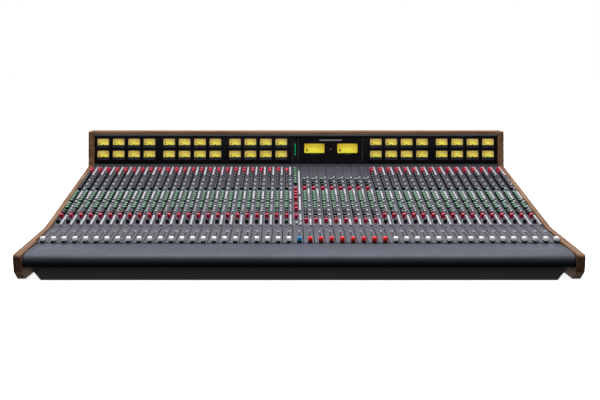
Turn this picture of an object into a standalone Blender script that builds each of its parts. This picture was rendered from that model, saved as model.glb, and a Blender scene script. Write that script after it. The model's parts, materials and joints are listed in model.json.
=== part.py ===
"""Large analogue mixing console: 40 channel strips, a master strip and 8 group strips in walnut.

Frame: metres, +X to the operator's right, +Y towards the back, +Z up.
The origin is at the centre of the footprint, on the surface that the console stands on.
Along Y the design is measured from the front face, and FRONT shifts it to the origin.
"""

import bmesh
import bpy
from math import atan2, cos, hypot, pi, radians, sin
from mathutils import Euler, Vector

# Driving dimensions
MODULE = 0.0353
LEFT_CHANNELS = 24
MASTERS = 1
GROUPS = 8
RIGHT_CHANNELS = 16
CHEEK = 0.018
CHEEK_STEP = 0.0075
DEPTH = 1.025
HEIGHT = 0.386
GAP = 0.0003

MASTER_MODULE = LEFT_CHANNELS
MODULES = LEFT_CHANNELS + MASTERS + GROUPS + RIGHT_CHANNELS
INNER = MODULES * MODULE
HALF = INNER / 2
CLEAR_HALF = HALF - GAP
NARROW_HALF = CLEAR_HALF - CHEEK_STEP
FRONT = -DEPTH / 2

# Side profile, each point as (distance from the front face, height)
NOSE_LOW = (0.029, 0.0)
NOSE_MID = (0.0, 0.031)
NOSE_TOP = (0.0, 0.084)
CHEEK_BEND = (0.314, 0.104)
BRIDGE_FOOT = (0.918, 0.239)
BRIDGE_HEAD = (0.945, HEIGHT)

# The cheeks are thicker at the nose and under the bridge; this is the thin stretch between
CHEEK_THIN = (0.1563, 0.9179)

# Working surfaces: front edge, rear edge
FADER_FRONT = (0.157, 0.086)
FADER_REAR = (0.342, 0.103)
UPPER_REAR = (0.917, 0.2395)
PANEL_T = 0.0025

# Padded armrest, each corner as (distance from the front face, height, corner radius)
ARMREST = [
    (0.1555, 0.043, 0),
    (0.1555, 0.0865, 0.004),
    (0.070, 0.0860, 0.25),
    (0.002, 0.0800, 0.030),
    (0.002, 0.043, 0.003),
]
ARMREST_STEPS = 6

# Board under the armrest, its lower corners cut away at a slant
APRON_FOOT = 0.002
APRON_TOP = 0.0425
APRON_LOW_HALF = 0.803
APRON_SLANT = 1.3
APRON_T = 0.009
APRON_MIDDLE = 0.0125

# Case boards and rails across the frame: half width, front and foot, rear and top
CASE = {
    "base_pan": (NARROW_HALF, (0.100, 0.003), (1.020, 0.005), "case_black"),
    "rear_panel": (NARROW_HALF, (1.014, 0.0053), (1.0165, 0.2365), "case_black"),
    "front_rail": (CLEAR_HALF, (0.157, 0.0053), (0.165, 0.081), "steel"),
    "mid_rail": (CLEAR_HALF, (0.325, 0.060), (0.345, 0.095), "steel"),
    "rear_rail": (CLEAR_HALF, (0.898, 0.190), (0.914, 0.2245), "steel"),
    "bus_board": (0.845, (0.560, 0.030), (0.660, 0.032), "board_green"),
}
REAR_COVER = ((1.018, 0.2368), 1.0205)

# Faders
TRAVEL = 0.1
FADER_LINE = 0.0215
CAP_SIZE = (0.014, 0.023, 0.0155)
CAP_FLOAT = 0.001
CAP_START = 0.0125
DIP = 0.0025
STEM = (0.0012, 0.006, 0.008)
SLOT_W = 0.003
SLOT_MARGIN = 0.006
MOVING_EACH_SIDE = 8

# Rotary knobs and push buttons
KNOB_LINE = 0.013
BUTTON_LINE = 0.028
SHAFT_R = 0.003
SHAFT_CLEAR = 0.0004
SHAFT_DEPTH = 0.008
KNOB_FOOT = 0.0006
KNOB_TALLNESS = 1.8
BUTTON = (0.0064, 0.0072, 0.0050)
BUTTON_DEPTH = 0.010
BUTTON_CLEAR = 0.0004
BUTTON_TRAVEL = 0.003

# Module runs: first module, count
SECTIONS = {
    "left": (0, LEFT_CHANNELS),
    "centre": (LEFT_CHANNELS, MASTERS + GROUPS),
    "right": (LEFT_CHANNELS + MASTERS + GROUPS, RIGHT_CHANNELS),
}

# Controls that turn or travel: module, distance up the control panel, then radius, and finish
LAST_LEFT = LEFT_CHANNELS - 1
KNOBS = {
    "channel_gain_knob": (LAST_LEFT, 0.535, 0.0082, "knob_red"),
    "channel_pan_knob": (LAST_LEFT, 0.028, 0.0072, "knob_black"),
    "monitor_level_knob": (MASTER_MODULE, 0.170, 0.0082, "knob_red"),
}
BUTTONS = {
    "channel_mute_button": (LAST_LEFT, 0.0965, "knob_black"),
    "talkback_button": (MASTER_MODULE, 0.022, "cap_white"),
}

# Meter bridge, distances up the leaning face from its foot
FACE_LEN = hypot(BRIDGE_HEAD[0] - BRIDGE_FOOT[0], BRIDGE_HEAD[1] - BRIDGE_FOOT[1])
LIP = (0.0008, 0.0096)
BLACK = (0.010, 0.1292)
TRIM = (0.1295, 0.1352)
TRIM_T = 0.0045
TRIM_SINK = 0.0005
FACE_SINK = 0.005
METER_T = 0.0025
LED_SPAN = (-0.015, 0.010)
VU_SPAN = (0.010, 0.285)
METER_PITCH = 0.0655
METERS_IN_BANK = 4
METER_BANK_PITCH = 0.280
METER_BANKS = {"left": (-0.7213, 3), "right": (0.4375, 2)}
METER_BODY = (0.056, 0.046, 0.022)
METER_ROWS = (0.0488, 0.100)
METER_PROUD = 0.004
VU_CENTRES = (0.0778, 0.2183)
VU_LEVEL = 0.0775
VU_WINDOW = (0.0865, 0.0400)
VU_PIVOT = 0.050
NEEDLE_LEN = 0.046
NEEDLE_REST = radians(50)
NEEDLE_T = 0.0006
NEEDLE_LEVEL = -FACE_SINK - METER_T - 0.0035
DIAL_HALF = 0.050
DIAL_REACH = (0.012, 0.026)
DIAL_T = 0.0015
DIAL_BEHIND = 0.002
GLASS_T = 0.0012
WINDOW_ROUND = 0.005

COLLECTION = "mixing_console"
MATERIALS = {
    "walnut": ((0.155, 0.080, 0.036), 0.45, 0.0),
    "trim_grey": ((0.055, 0.055, 0.070), 0.5, 0.2),
    "meter_black": ((0.006, 0.006, 0.008), 0.35, 0.0),
    "panel_grey": ((0.150, 0.148, 0.185), 0.5, 0.1),
    "pad_vinyl": ((0.120, 0.130, 0.165), 0.6, 0.0),
    "case_black": ((0.014, 0.013, 0.014), 0.6, 0.0),
    "steel": ((0.50, 0.50, 0.52), 0.4, 1.0),
    "board_green": ((0.010, 0.110, 0.045), 0.5, 0.0),
    "dial_yellow": ((0.80, 0.55, 0.04), 0.5, 0.0),
    "clear_glass": ((0.90, 0.92, 0.90), 0.05, 0.0),
    "needle_black": ((0.02, 0.02, 0.02), 0.4, 0.0),
    "cap_white": ((0.72, 0.72, 0.70), 0.35, 0.0),
    "cap_red": ((0.55, 0.025, 0.035), 0.35, 0.0),
    "cap_blue": ((0.03, 0.16, 0.42), 0.35, 0.0),
    "knob_red": ((0.50, 0.020, 0.060), 0.4, 0.0),
    "knob_black": ((0.012, 0.012, 0.014), 0.4, 0.0),
}


def clear_scene():
    for obj in list(bpy.data.objects):
        bpy.data.objects.remove(obj, do_unlink=True)
    for name in (COLLECTION, "cutters"):
        old = bpy.data.collections.get(name)
        if old:
            bpy.data.collections.remove(old)
        made = bpy.data.collections.new(name)
        bpy.context.scene.collection.children.link(made)


def material(name):
    found = bpy.data.materials.get(name)
    if found:
        return found
    colour, rough, metal = MATERIALS[name]
    made = bpy.data.materials.new(name)
    made.use_nodes = True
    shader = made.node_tree.nodes["Principled BSDF"]
    shader.inputs["Base Color"].default_value = (*colour, 1.0)
    shader.inputs["Roughness"].default_value = rough
    shader.inputs["Metallic"].default_value = metal
    return made


def add(name, data, finish, location=(0, 0, 0), rotation=(0, 0, 0), where=COLLECTION):
    obj = bpy.data.objects.new(name, data)
    obj.location = location
    obj.rotation_euler = rotation
    bpy.data.collections[where].objects.link(obj)
    if finish and not data.materials:
        data.materials.append(material(finish))
    if where == "cutters":
        obj.hide_render = True
        obj.display_type = "WIRE"
    return obj


class Plane:
    """A leaning work surface: x stays world X, u runs up the slope and h stands out of it."""

    def __init__(self, low, high):
        self.low = low
        self.lean = atan2(high[1] - low[1], high[0] - low[0])
        self.length = hypot(high[0] - low[0], high[1] - low[1])
        self.rotation = Euler((self.lean, 0, 0))
        self.out = Vector((0, -sin(self.lean), cos(self.lean)))
        self.up = Vector((0, cos(self.lean), sin(self.lean)))

    def at(self, x, u, h=0.0):
        base = Vector((x, FRONT + self.low[0], self.low[1]))
        return base + self.up * u + self.out * h


FADERS = Plane(FADER_FRONT, FADER_REAR)
UPPER = Plane(FADER_REAR, UPPER_REAR)
FACE = Plane(BRIDGE_FOOT, BRIDGE_HEAD)


# Shapes


def turned_by(point, angle):
    x = point.x * cos(angle) - point.y * sin(angle)
    y = point.x * sin(angle) + point.y * cos(angle)
    return Vector((x, y))


def rounded(corners, steps=4):
    """Outline points from (x, y, radius) corners, each round one as an arc."""
    points = []
    count = len(corners)
    for i, (x, y, radius) in enumerate(corners):
        here = Vector((x, y))
        if radius <= 0:
            points.append(here)
            continue
        before = (Vector(corners[i - 1][:2]) - here).normalized()
        after = (Vector(corners[(i + 1) % count][:2]) - here).normalized()
        half = before.angle(after) / 2
        reach = radius / abs(sin(half) / cos(half))
        centre = here + (before + after).normalized() * (radius / sin(half))
        start = here + before * reach - centre
        turn = start.angle_signed(here + after * reach - centre)
        for k in range(steps + 1):
            points.append(centre + turned_by(start, -turn * k / steps))
    return points


def rectangle(x0, y0, x1, y1):
    return [Vector((x0, y0)), Vector((x1, y0)), Vector((x1, y1)), Vector((x0, y1))]


def flat_curve(name, outlines, thickness):
    """A filled 2D curve: the first outline is the edge, and the others are holes."""
    curve = bpy.data.curves.new(name, "CURVE")
    curve.dimensions = "2D"
    curve.fill_mode = "BOTH"
    curve.extrude = thickness / 2
    curve.resolution_u = 1
    curve.render_resolution_u = 0
    for outline in outlines:
        spline = curve.splines.new("POLY")
        spline.points.add(len(outline) - 1)
        for point, corner in zip(spline.points, outline):
            point.co = (corner[0], corner[1], 0, 1)
        spline.use_cyclic_u = True
    return curve


def side_profile(name, outline, width, x, finish):
    """An outline in (depth, height) extruded along X about x."""
    curve = flat_curve(name, [outline], width)
    return add(name, curve, finish, (x, FRONT, 0), (pi / 2, 0, pi / 2))


def sheet_on(plane, name, outlines, thickness, finish, top=0.0):
    """A flat sheet lying in a work surface, its outer face at height top; outlines are (x, u)."""
    curve = flat_curve(name, outlines, thickness)
    return add(name, curve, finish, plane.at(0, 0, top - thickness / 2), plane.rotation)


def block(name, low, high, finish, where=COLLECTION):
    """A box between two corners, with depth measured from the front face."""
    size = [b - a for a, b in zip(low, high)]
    bpy.ops.mesh.primitive_cube_add(size=1)
    cube = bpy.context.object
    mesh = cube.data
    mesh.name = name
    for vertex in mesh.vertices:
        vertex.co = [c * s for c, s in zip(vertex.co, size)]
    bpy.data.objects.remove(cube)
    centre = [(a + b) / 2 for a, b in zip(low, high)]
    centre[1] += FRONT
    return add(name, mesh, finish, centre, where=where)


def boxes_mesh(name, boxes):
    """One mesh with a box for each (centre, size), used to cut or to join."""
    work = bmesh.new()
    for centre, size in boxes:
        made = bmesh.ops.create_cube(work, size=1)["verts"]
        for vertex in made:
            vertex.co = Vector([c * s for c, s in zip(vertex.co, size)]) + Vector(centre)
    mesh = bpy.data.meshes.new(name)
    work.to_mesh(mesh)
    work.free()
    return mesh


def as_mesh(obj):
    """Turns a filled curve into a welded mesh object in the same place."""
    bpy.context.view_layer.update()
    evaluated = obj.evaluated_get(bpy.context.evaluated_depsgraph_get())
    mesh = bpy.data.meshes.new_from_object(evaluated)
    work = bmesh.new()
    work.from_mesh(mesh)
    bmesh.ops.remove_doubles(work, verts=work.verts, dist=0.00001)
    work.to_mesh(mesh)
    work.free()
    name = obj.name
    home = obj.users_collection[0].name
    place = obj.matrix_world.copy()
    bpy.data.objects.remove(obj)
    made = add(name, mesh, None, where=home)
    made.matrix_world = place
    return made


def combine(obj, tool, operation):
    boolean = obj.modifiers.new(operation.lower(), "BOOLEAN")
    boolean.operation = operation
    boolean.solver = "EXACT"
    boolean.object = tool


def baked_mesh(obj, name):
    """The mesh of an object after its modifiers, for copies to share; the object itself goes."""
    bpy.context.view_layer.update()
    evaluated = obj.evaluated_get(bpy.context.evaluated_depsgraph_get())
    mesh = bpy.data.meshes.new_from_object(evaluated)
    mesh.name = name
    mesh.materials.clear()
    tools = [m.object for m in obj.modifiers if m.type == "BOOLEAN"]
    for old in [obj, *tools]:
        bpy.data.objects.remove(old)
    return mesh


def turned(name, profile, finish, steps=24):
    """A solid turned about its own Z from (radius, height) points, which run top to bottom."""
    mesh = bpy.data.meshes.new(name)
    points = [(0, 0, profile[0][1])] + [(r, 0, z) for r, z in profile] + [(0, 0, profile[-1][1])]
    mesh.from_pydata(points, [(i, i + 1) for i in range(len(points) - 1)], [])
    obj = add(name, mesh, finish)
    screw = obj.modifiers.new("turn", "SCREW")
    screw.steps = steps
    screw.render_steps = steps
    screw.use_merge_vertices = True
    screw.merge_threshold = 0.00001
    screw.use_smooth_shade = False
    return obj


# Wooden frame and case


def module_edge(index):
    return -HALF + index * MODULE


def cheeks():
    corners = [
        (*NOSE_LOW, 0.003),
        (*NOSE_MID, 0.003),
        (*NOSE_TOP, 0.011),
        (*CHEEK_BEND, 0.30),
        (*BRIDGE_FOOT, 0.012),
        (*BRIDGE_HEAD, 0.009),
        (DEPTH, HEIGHT, 0.008),
        (DEPTH, 0.0, 0.003),
    ]
    outline = rounded(corners)
    thick = CHEEK + CHEEK_STEP
    middle = HALF - CHEEK_STEP + thick / 2
    front, rear = CHEEK_THIN
    for side, name in ((-1, "cheek_left"), (1, "cheek_right")):
        cheek = as_mesh(side_profile(name, outline, thick, side * middle, "walnut"))
        cheek.data.materials.append(material("walnut"))
        inner, outer = sorted((side * (HALF - 2 * CHEEK_STEP), side * HALF))
        step = block(name + "_step", (inner, front, -HEIGHT), (outer, rear, HEIGHT), None, "cutters")
        combine(cheek, step, "DIFFERENCE")


def bridge_cap():
    """Walnut top board of the meter bridge; its front edge leans with the face."""
    base = FRONT
    foot = FACE.at(0, TRIM[1] + GAP)
    head = FACE.at(0, FACE_LEN)
    outline = [
        (foot.y - base, foot.z, 0),
        (head.y - base, HEIGHT - GAP, 0.003),
        (DEPTH - 0.001, HEIGHT - GAP, 0.003),
        (DEPTH - 0.001, foot.z, 0),
    ]
    side_profile("bridge_cap", rounded(outline), 2 * NARROW_HALF, 0, "walnut")


def armrest():
    """Padded vinyl bolster: crowned top, large front roll, flat underside on the apron."""
    outline = rounded(ARMREST, ARMREST_STEPS)
    side_profile("armrest", outline, 2 * NARROW_HALF, 0, "pad_vinyl")


def front_apron():
    high_half = APRON_LOW_HALF + (APRON_TOP - APRON_FOOT) / APRON_SLANT
    low = [Vector((side * APRON_LOW_HALF, APRON_FOOT)) for side in (-1, 1)]
    high = [Vector((side * high_half, APRON_TOP)) for side in (1, -1)]
    curve = flat_curve("front_apron", [low + high], APRON_T)
    add("front_apron", curve, "case_black", (0, FRONT + APRON_MIDDLE, 0), (pi / 2, 0, 0))


def case():
    for name, (half, low, high, finish) in CASE.items():
        block(name, (-half, *low), (half, *high), finish)
    low, rear = REAR_COVER
    top = FACE.at(0, TRIM[1]).z
    block("bridge_rear_cover", (-NARROW_HALF, *low), (NARROW_HALF, rear, top), "case_black")


# Work surfaces


def strip_range(first, count):
    """X of the two edges of a run of modules, with the gap to its neighbours."""
    return module_edge(first) + GAP, module_edge(first + count) - GAP


def fader_panels():
    slot_low = CAP_START - SLOT_MARGIN
    slot_high = CAP_START + TRAVEL + SLOT_MARGIN
    for section, (first, count) in SECTIONS.items():
        x0, x1 = strip_range(first, count)
        outlines = [rectangle(x0, GAP, x1, FADERS.length - GAP)]
        for index in range(first, first + count):
            middle = module_edge(index) + FADER_LINE
            outlines.append(rectangle(middle - SLOT_W / 2, slot_low, middle + SLOT_W / 2, slot_high))
        sheet_on(FADERS, "fader_panel_" + section, outlines, PANEL_T, "panel_grey")


def control_panels():
    round_steps = 16
    hole = SHAFT_R + SHAFT_CLEAR
    for section, (first, count) in SECTIONS.items():
        x0, x1 = strip_range(first, count)
        outlines = [rectangle(x0, GAP, x1, UPPER.length)]
        for index, level, _, _ in KNOBS.values():
            if first <= index < first + count:
                x = module_edge(index) + KNOB_LINE
                ring = [2 * pi * k / round_steps for k in range(round_steps)]
                outlines.append([Vector((x + hole * cos(a), level + hole * sin(a))) for a in ring])
        for index, level, _ in BUTTONS.values():
            if first <= index < first + count:
                x = module_edge(index) + BUTTON_LINE
                w = BUTTON[0] / 2 + BUTTON_CLEAR
                d = BUTTON[1] / 2 + BUTTON_CLEAR
                outlines.append(rectangle(x - w, level - d, x + w, level + d))
        sheet_on(UPPER, "control_panel_" + section, outlines, PANEL_T, "panel_grey")


# Controls that move


def cap_mesh():
    """Fader cap with a finger dip, joined to the flat stem that goes down through the slot."""
    wide, long, tall = CAP_SIZE
    base = CAP_FLOAT
    top = CAP_FLOAT + tall
    reach = long / 2
    dip_half = reach * 0.62
    arc = 6
    shoulder = base + tall * 0.45
    brow = reach * 0.84
    outline = [Vector((-reach, base)), Vector((-reach, shoulder)), Vector((-brow, top))]
    for k in range(arc + 1):
        t = -1 + 2 * k / arc
        outline.append(Vector((t * dip_half, top - DIP * cos(t * pi / 2))))
    outline += [Vector((brow, top)), Vector((reach, shoulder)), Vector((reach, base))]
    curve = flat_curve("cap_body", [outline], wide)
    body = as_mesh(add("cap_body", curve, None, rotation=(pi / 2, 0, pi / 2)))
    low, high = -STEM[2], base + tall * 0.3
    stem = boxes_mesh("cap_stem", [((0, 0, (low + high) / 2), (STEM[0], STEM[1], high - low))])
    body.data.transform(body.matrix_world)
    body.matrix_world.identity()
    combine(body, add("cap_stem", stem, None, where="cutters"), "UNION")
    return baked_mesh(body, "fader_cap")


def faders():
    shape = cap_mesh()
    moving = {"master_fader": (MASTER_MODULE, "cap_blue")}
    for k in range(GROUPS):
        moving[f"group_fader_{k + 1}"] = (MASTER_MODULE + MASTERS + k, "cap_red")
    nearest = range(LEFT_CHANNELS - MOVING_EACH_SIDE, LEFT_CHANNELS + MOVING_EACH_SIDE)
    for channel in nearest:
        skipped = MASTERS + GROUPS if channel >= LEFT_CHANNELS else 0
        moving[f"channel_fader_{channel + 1}"] = (channel + skipped, "cap_white")
    copies = {}
    for name, (index, finish) in moving.items():
        if finish not in copies:
            copies[finish] = shape.copy()
        x = module_edge(index) + FADER_LINE
        add(name, copies[finish], finish, FADERS.at(x, CAP_START), FADERS.rotation)


def knobs():
    """Turned caps, slightly tapered above a skirt, each on the shaft that goes through the panel."""
    for name, (index, level, radius, finish) in KNOBS.items():
        tall = radius * KNOB_TALLNESS
        profile = [
            (radius * 0.80, tall),
            (radius * 0.90, tall - 0.0008),
            (radius * 0.94, KNOB_FOOT + 0.003),
            (radius, KNOB_FOOT + 0.002),
            (radius, KNOB_FOOT),
            (SHAFT_R, KNOB_FOOT),
            (SHAFT_R, -SHAFT_DEPTH),
        ]
        knob = turned(name, profile, finish)
        knob.location = UPPER.at(module_edge(index) + KNOB_LINE, level)
        knob.rotation_euler = UPPER.rotation


def buttons():
    wide, long, above = BUTTON
    middle = (above - BUTTON_DEPTH) / 2
    for name, (index, level, finish) in BUTTONS.items():
        mesh = boxes_mesh(name, [((0, 0, middle), (wide, long, above + BUTTON_DEPTH))])
        place = UPPER.at(module_edge(index) + BUTTON_LINE, level)
        add(name, mesh, finish, place, UPPER.rotation)


# Meter bridge


def meter_columns(first, banks):
    """X of the meter columns in a run of banks, from the middle of the first bank."""
    columns = []
    for bank in range(banks):
        for k in range(METERS_IN_BANK):
            columns.append(first + bank * METER_BANK_PITCH + (k - (METERS_IN_BANK - 1) / 2) * METER_PITCH)
    return columns


def meter_panel(name, x0, x1, columns):
    sheet = rectangle(x0, BLACK[0], x1, BLACK[1])
    panel = sheet_on(FACE, name, [sheet], METER_T, "meter_black", -FACE_SINK)
    panel = as_mesh(panel)
    panel.data.materials.append(material("meter_black"))
    front = METER_PROUD + METER_T / 2
    middle = front - METER_BODY[2] / 2
    boxes = [((x, u, middle), METER_BODY) for x in columns for u in METER_ROWS]
    bodies = add(name + "_bodies", boxes_mesh(name + "_bodies", boxes), None, where="cutters")
    bodies.matrix_world = panel.matrix_world.copy()
    combine(panel, bodies, "UNION")


def bridge_face():
    for name, span in (("bridge_lip", LIP), ("bridge_trim", TRIM)):
        strip = rectangle(-NARROW_HALF, span[0], NARROW_HALF, span[1])
        sheet_on(FACE, name, [strip], TRIM_T, "trim_grey", -TRIM_SINK)
    spans = {"left": (-NARROW_HALF, LED_SPAN[0] - GAP), "right": (VU_SPAN[1] + GAP, NARROW_HALF)}
    for side, (x0, x1) in spans.items():
        meter_panel("meter_panel_" + side, x0, x1, meter_columns(*METER_BANKS[side]))
    led = rectangle(LED_SPAN[0], BLACK[0], LED_SPAN[1] - GAP, BLACK[1])
    sheet_on(FACE, "led_panel", [led], METER_T, "meter_black", -FACE_SINK)
    outlines = [rectangle(VU_SPAN[0], BLACK[0], VU_SPAN[1], BLACK[1])]
    outlines += [window_outline(x, 0.0, WINDOW_ROUND) for x in VU_CENTRES]
    sheet_on(FACE, "vu_panel", outlines, METER_T, "meter_black", -FACE_SINK)


def window_outline(x, inset, radius):
    half_w = VU_WINDOW[0] / 2 - inset
    half_h = VU_WINDOW[1] / 2 - inset
    corners = rectangle(x - half_w, VU_LEVEL - half_h, x + half_w, VU_LEVEL + half_h)
    return rounded([(corner.x, corner.y, radius) for corner in corners], 3)


def vu_meters():
    inset = GAP + 0.0001
    tip = 0.0004
    root = 0.0009
    tail = (0.0045, -0.010)
    pointer = [(-tail[0], tail[1]), tail, (root, 0), (tip, NEEDLE_LEN), (-tip, NEEDLE_LEN), (-root, 0)]
    resting = FACE.rotation.to_matrix() @ Euler((0, 0, NEEDLE_REST)).to_matrix()
    for side, x in zip(("left", "right"), VU_CENTRES):
        window = window_outline(x, inset, WINDOW_ROUND - inset)
        sheet_on(FACE, "vu_window_" + side, [window], GLASS_T, "clear_glass", -FACE_SINK - inset)
        foot = VU_PIVOT - DIAL_REACH[0]
        head = VU_LEVEL + DIAL_REACH[1]
        plate = rectangle(x - DIAL_HALF, foot, x + DIAL_HALF, head)
        sheet_on(FACE, "vu_dial_" + side, [plate], DIAL_T, "dial_yellow", NEEDLE_LEVEL - DIAL_BEHIND)
        curve = flat_curve("vu_needle_" + side, [[Vector(p) for p in pointer]], NEEDLE_T)
        needle = add("vu_needle_" + side, curve, "needle_black", FACE.at(x, VU_PIVOT, NEEDLE_LEVEL))
        needle.rotation_euler = resting.to_euler()


def main():
    clear_scene()
    cheeks()
    bridge_cap()
    armrest()
    front_apron()
    case()
    fader_panels()
    control_panels()
    bridge_face()
    vu_meters()
    faders()
    knobs()
    buttons()


main()
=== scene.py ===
"""Looks of the mixing console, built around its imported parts.

Metres, +X to the operator's right, +Y from the armrest to the meter bridge, +Z up.
On a work surface, x is world X, u runs up the surface from its front edge and h stands out of it.
"""

import json
from math import atan2, cos, pi, radians, sin

import bmesh
import bpy
import numpy as np
from mathutils import Matrix, Vector


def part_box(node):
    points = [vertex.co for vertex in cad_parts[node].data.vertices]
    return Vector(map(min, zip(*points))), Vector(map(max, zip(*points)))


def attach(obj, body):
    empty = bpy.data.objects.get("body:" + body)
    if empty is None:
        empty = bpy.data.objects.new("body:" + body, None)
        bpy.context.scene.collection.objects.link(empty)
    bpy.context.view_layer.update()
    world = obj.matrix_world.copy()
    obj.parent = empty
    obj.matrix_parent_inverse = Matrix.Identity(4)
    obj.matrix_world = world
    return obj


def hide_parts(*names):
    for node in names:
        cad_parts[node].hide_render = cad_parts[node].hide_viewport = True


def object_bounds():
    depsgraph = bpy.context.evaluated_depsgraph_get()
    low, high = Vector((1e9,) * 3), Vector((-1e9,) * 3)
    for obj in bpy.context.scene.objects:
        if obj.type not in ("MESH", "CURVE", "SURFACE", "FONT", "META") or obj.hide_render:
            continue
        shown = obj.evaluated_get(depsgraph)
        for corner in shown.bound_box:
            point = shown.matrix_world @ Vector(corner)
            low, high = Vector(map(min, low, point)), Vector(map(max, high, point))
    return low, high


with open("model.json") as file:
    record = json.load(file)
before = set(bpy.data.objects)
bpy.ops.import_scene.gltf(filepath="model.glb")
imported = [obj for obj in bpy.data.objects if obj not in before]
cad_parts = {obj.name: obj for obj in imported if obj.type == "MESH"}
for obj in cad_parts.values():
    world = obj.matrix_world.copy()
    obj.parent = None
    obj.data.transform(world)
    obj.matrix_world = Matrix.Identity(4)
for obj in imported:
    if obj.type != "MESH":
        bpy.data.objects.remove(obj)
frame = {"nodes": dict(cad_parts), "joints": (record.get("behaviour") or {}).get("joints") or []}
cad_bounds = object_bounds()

# Module layout: channels, master, groups, channels
LEFT_CHANNELS = 24
GROUPS = 8
RIGHT_CHANNELS = 16
MODULES = LEFT_CHANNELS + 1 + GROUPS + RIGHT_CHANNELS
MASTER = LEFT_CHANNELS
BANKS = {
    "channels_1": range(0, 8),
    "channels_9": range(8, 16),
    "channels_17": range(16, 24),
    "master": range(24, 25),
    "groups": range(25, 33),
    "channels_25": range(33, 41),
    "channels_33": range(41, 49),
}

# Control strips
KNOB_LINE = 0.013
BUTTON_LINE = 0.028
STRIP_GAP = 0.0012
STRIP_BEVEL = 0.0004
STRIP_T = 0.0022
SHAFT_HOLE = 0.0036
BUTTON_HOLE = 0.0005
SCREW_INSET = 0.0055

# Kinds of knob: radius, height, finish of the body, finish of the top
KNOBS = {
    "red": (0.0082, 0.0152, "knob_red", "knob_red"),
    # Green knobs: the pale top is a painted highlight, a lit copy of the dark green of the body.
    "green": (0.0080, 0.0120, "knob_side_green", "knob_green"),
    "sage": (0.0080, 0.0120, "knob_black", "knob_sage"),
    "grey": (0.0076, 0.0124, "knob_black", "knob_grey"),
    "black": (0.0078, 0.0142, "knob_black", "knob_black"),
    "white": (0.0048, 0.0080, "white", "white"),
}
KNOB_FOOT = 0.0006

# Runs of controls in a strip: kind, distance of the lowest one up the strip, pitch, count
CHANNEL_KNOBS = (
    ("red", 0.5140, 0.0209, 2),
    ("grey", 0.3320, 0.0202, 9),
    ("green", 0.2300, 0.0203, 4),
    ("sage", 0.2095, 0.0203, 1),
    ("green", 0.1450, 0.0182, 3),
    ("grey", 0.0990, 0.0165, 2),
    ("red", 0.0720, 0.0200, 1),
    ("black", 0.0280, 0.0200, 1),
)
CHANNEL_BUTTONS = (
    ("white", 0.4860, 0.0105, 9),
    ("white", 0.3390, 0.0430, 3),
    ("white", 0.2380, 0.0108, 7),
    ("white", 0.2120, 0.0100, 1),
    ("white", 0.1255, 0.0200, 3),
    ("dark", 0.0965, 0.0100, 1),
    ("white", 0.0080, 0.0105, 8),
)
GROUP_KNOBS = (
    ("green", 0.4240, 0.0200, 1),
    ("grey", 0.3930, 0.0200, 1),
    ("black", 0.3610, 0.0200, 1),
    ("red", 0.3270, 0.0200, 1),
    ("green", 0.2100, 0.0203, 5),
    ("sage", 0.1640, 0.0190, 2),
    ("green", 0.1430, 0.0200, 1),
    ("grey", 0.1220, 0.0200, 1),
    ("black", 0.0800, 0.0205, 2),
    ("grey", 0.0590, 0.0200, 1),
    ("red", 0.0320, 0.0200, 1),
)
GROUP_BUTTONS = (
    ("white", 0.4540, 0.0100, 1),
    ("white", 0.3680, 0.0380, 2),
    ("white", 0.2860, 0.0100, 5),
    ("white", 0.2120, 0.0193, 4),
    ("white", 0.0890, 0.0395, 3),
    ("white", 0.0060, 0.0098, 5),
)
MASTER_KNOBS = (
    ("green", 0.3880, 0.0223, 8),
    ("red", 0.3190, 0.0200, 1),
    ("red", 0.2560, 0.0255, 2),
    ("red", 0.2260, 0.0200, 1),
    ("red", 0.1300, 0.0400, 2),
    ("red", 0.0660, 0.0200, 1),
    ("white", 0.0170, 0.0200, 1),
)
MASTER_BUTTONS = (
    ("white", 0.2830, 0.01035, 24),
    ("white", 0.1310, 0.01045, 12),
    ("white", 0.0430, 0.01075, 5),
    ("white", 0.0075, 0.0145, 2),
)
# Unlit lamps of a group strip: finish, distance up the strip
GROUP_LEDS = {"red": ("led_off", 0.533), "green": ("led_off_green", 0.476)}

# Push buttons
BUTTON = (0.0064, 0.0072, 0.0050)
BUTTON_BEVEL = 0.0008
BUTTON_RIM = 0.0007

# Faders; a cap is its width, length, foot and top
CAP = (0.0140, 0.0230, 0.0010, 0.0165)
CAP_DIP = 0.0024
CAP_FINISH = {"master": "cap_blue", "group": "cap_red", "channel": "cap_white"}
CAP_SLOT_W = 0.0020
CAP_MARGIN = 0.006
GROOVE = 0.0024
GROOVE_TOP = 0.150
NUMBER_LEVEL = 0.1260
NUMBER_SIZE = 0.0120
FADER_LINE = 0.0215

# Meter bridge, distances from the foot of the black panels
METER_PITCH = 0.0655
METERS_IN_BANK = 4
METER_BANK_PITCH = 0.280
METER_BANKS = {"left": (-0.7213, 3), "right": (0.4375, 2)}
METER_ROWS = (0.0388, 0.0900)
METER_BODY = (0.056, 0.046)
METER_WINDOW = (0.0490, 0.0262)
METER_LIFT = 0.0050
METER_PROUD = 0.0040
VU_WINDOW = (0.0865, 0.0400)
LED_PITCH = 0.0125
VU_ARC = 0.0370
VU_SWEEP = radians(50)
VU_NUMBERS = (("20", -1.0), ("10", -0.55), ("5", -0.15), ("3", 0.12), ("0", 0.45), ("3", 0.95))

# Printed marks
PRINT_T = 0.00016
TICK = (0.00025, 0.0010, 0.00018)
TICKS = 7
TICK_SWEEP = radians(150)
FADER_TICKS = 9
SCALE_FOOT = 0.0125
SCALE_ASIDE = 0.0085
DIAL_BARS = 14

# Armrest
PAD_END = 0.006
PAD_STATIONS = 180
WELT_INSET = 0.016

# Rear
SOCKET_ROWS = (0.198, 0.160)
JACK_ROWS = (0.122, 0.100, 0.078, 0.056)
REAR_SCREWS = 15
LOUVRE_COLUMNS = 16
LOUVRE_PITCH = 0.0110

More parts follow.
